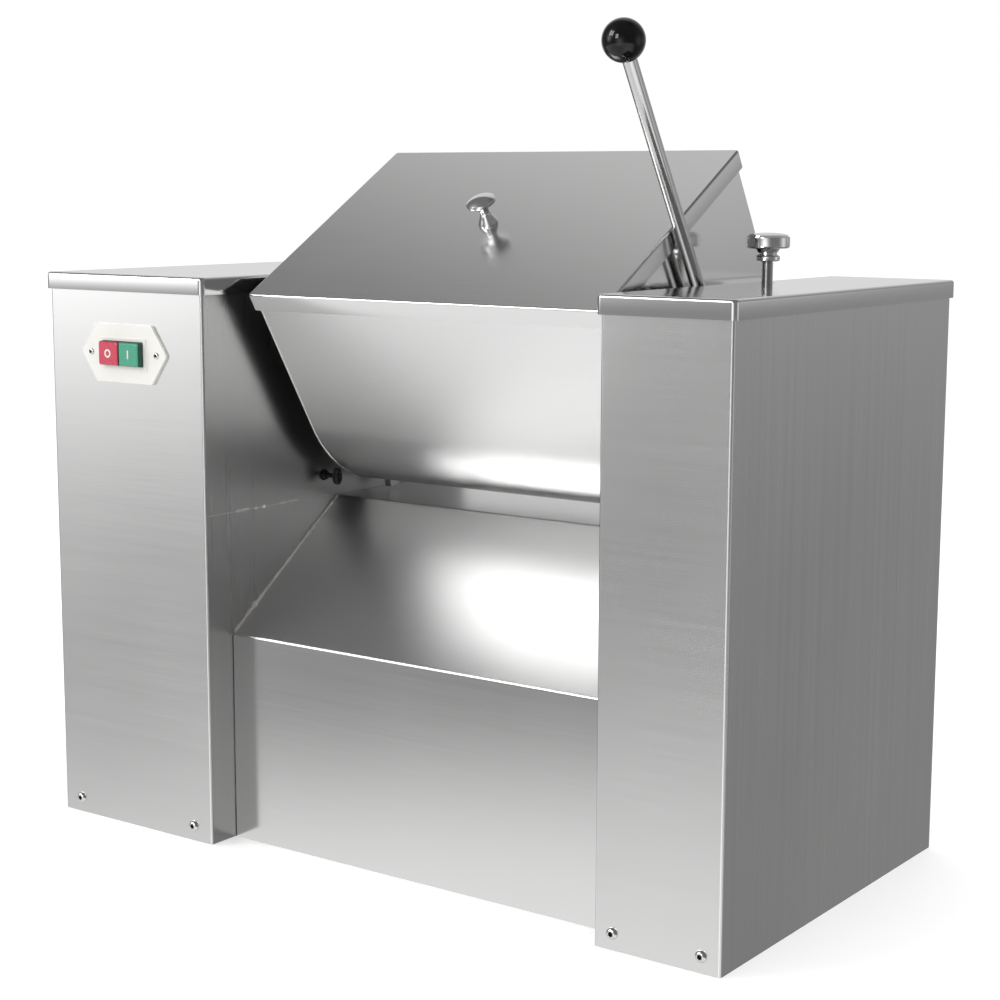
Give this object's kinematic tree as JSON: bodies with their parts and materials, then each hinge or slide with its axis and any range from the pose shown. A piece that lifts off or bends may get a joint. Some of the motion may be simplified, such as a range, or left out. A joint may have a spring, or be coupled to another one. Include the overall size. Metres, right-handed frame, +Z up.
{
  "type": "paddle blender",
  "caption": "Bench-top trough mixer with a tilting covered trough between two sheet steel pedestals and a driven paddle shaft.",
  "frame": {"origin": "centre of the rectangle that the pedestals stand on, on the floor", "axes": "+X along the machine to the lock pedestal, -Y to the operator at the front, +Z up"},
  "size_m": [0.85, 0.472, 0.8419],
  "materials": {
    "frame_steel": "dull grey primer",
    "stainless": "brushed sheet, fine grain",
    "bright_steel": "turned and polished",
    "chrome_trim": "polished chrome plate",
    "dark_steel": "blackened steel",
    "cast": "machined grey iron",
    "bronze": "sintered bronze",
    "white_plastic": "moulded, off-white",
    "seal_plastic": "white slippery plastic",
    "black_plastic": "moulded, black",
    "black_ball": "moulded, glossy black",
    "red_plastic": "moulded, red",
    "green_plastic": "moulded, green",
    "belt_rubber": "black rubber and cord",
    "motor_paint": "blue-grey enamel",
    "copper": "laminations and copper windings"
  },
  "bodies": {
    "base": {"base_x_rails": "frame_steel", "base_y_rails": "frame_steel", "frame_uprights": "frame_steel", "frame_top_rails": "frame_steel", "motor_bars": "frame_steel", "left_bearing_plate": "frame_steel", "right_bearing_plate": "frame_steel", "outer_bearing_plate": "frame_steel", "plate_spacers": "bright_steel", "left_casing": "stainless", "right_casing": "stainless", "left_cap": "stainless", "right_cap": "stainless", "apron_panel": "stainless", "rear_panel": "stainless", "casing_screws": "bright_steel", "tilt_stops": "dark_steel", "trunnion_housings": "cast", "trunnion_bushes": "bronze", "bearing_bolts": "dark_steel", "shaft_bearings": "bronze", "switch_plate": "white_plastic", "switch_body": "black_plastic", "switch_screws": "bright_steel", "cable_gland": "black_plastic", "lock_bracket": "frame_steel", "motor_housing": "motor_paint", "motor_stator": "copper", "motor_end_shields": "motor_paint", "motor_fan_cover": "black_plastic", "motor_terminal_box": "black_plastic", "drive_belt": "belt_rubber"},
    "trough": {"trough_shell": "stainless", "trough_end_plates": "stainless", "trunnions": "bright_steel", "shaft_bushes": "bronze", "shaft_seals": "seal_plastic", "lock_disc": "bright_steel", "disc_screws": "dark_steel", "lever_hub": "bright_steel", "lever_rod": "bright_steel", "lever_ball": "black_ball", "stop_ear": "bright_steel"},
    "lid": {"lid_panel": "stainless", "lid_knob": "chrome_trim", "lid_knob_nut": "bright_steel"},
    "paddle": {"paddle_shaft": "bright_steel", "paddle_arms": "stainless", "paddle_blades": "stainless", "drive_gear": "cast"},
    "intermediate_drive": {"countershaft": "bright_steel", "pinion": "cast", "large_pulley": "cast"},
    "motor_rotor": {"motor_shaft": "bright_steel", "motor_fan": "black_plastic", "motor_pulley": "cast"},
    "screw_pad": {"lock_pad": "bronze"},
    "screw": {"lock_screw": "chrome_trim"},
    "start": {"start_button": "green_plastic"},
    "stop": {"stop_button": "red_plastic"}
  },
  "joints": [
    {"name": "trough_tilt", "type": "hinge", "parent": "base", "child": "trough", "pos_m": [0, 0.034, 0.506], "axis": [1, 0, 0], "range_deg": [-31, 70]},
    {"name": "lid_lift", "type": "slide", "parent": "trough", "child": "lid", "axis": [0, -0.515, 0.8572], "range_m": [0, 0.15]},
    {"name": "paddle_turn", "type": "hinge", "parent": "base", "child": "paddle", "pos_m": [0, 0.034, 0.506], "axis": [1, 0, 0], "continuous": true},
    {"name": "countershaft_turn", "type": "hinge", "parent": "base", "child": "intermediate_drive", "pos_m": [0, 0.034, 0.432], "axis": [1, 0, 0], "continuous": true},
    {"name": "motor_turn", "type": "hinge", "parent": "base", "child": "motor_rotor", "pos_m": [0, 0.034, 0.111], "axis": [1, 0, 0], "continuous": true},
    {"name": "lock_pad_slide", "type": "slide", "parent": "base", "child": "screw_pad", "axis": [0, 0, 1], "range_m": [0, 0.01]},
    {"name": "lock_screw_turn", "type": "hinge", "parent": "screw_pad", "child": "screw", "pos_m": [0.3075, 0.044, 0.6], "axis": [0, 0, 1], "range_deg": [0, 2060]},
    {"name": "start_press", "type": "slide", "parent": "base", "child": "start", "axis": [0, 1, 0], "range_m": [0, 0.004], "stiffness_N_per_m": 600},
    {"name": "stop_press", "type": "slide", "parent": "base", "child": "stop", "axis": [0, 1, 0], "range_m": [0, 0.004], "stiffness_N_per_m": 600}
  ],
  "couplings": [
    {"joint": "countershaft_turn", "follows": "paddle_turn", "ratio": -3.3529},
    {"joint": "motor_turn", "follows": "paddle_turn", "ratio": -13.412},
    {"joint": "lock_screw_turn", "follows": "lock_pad_slide", "rad_per_m": 3590.4}
  ]
}
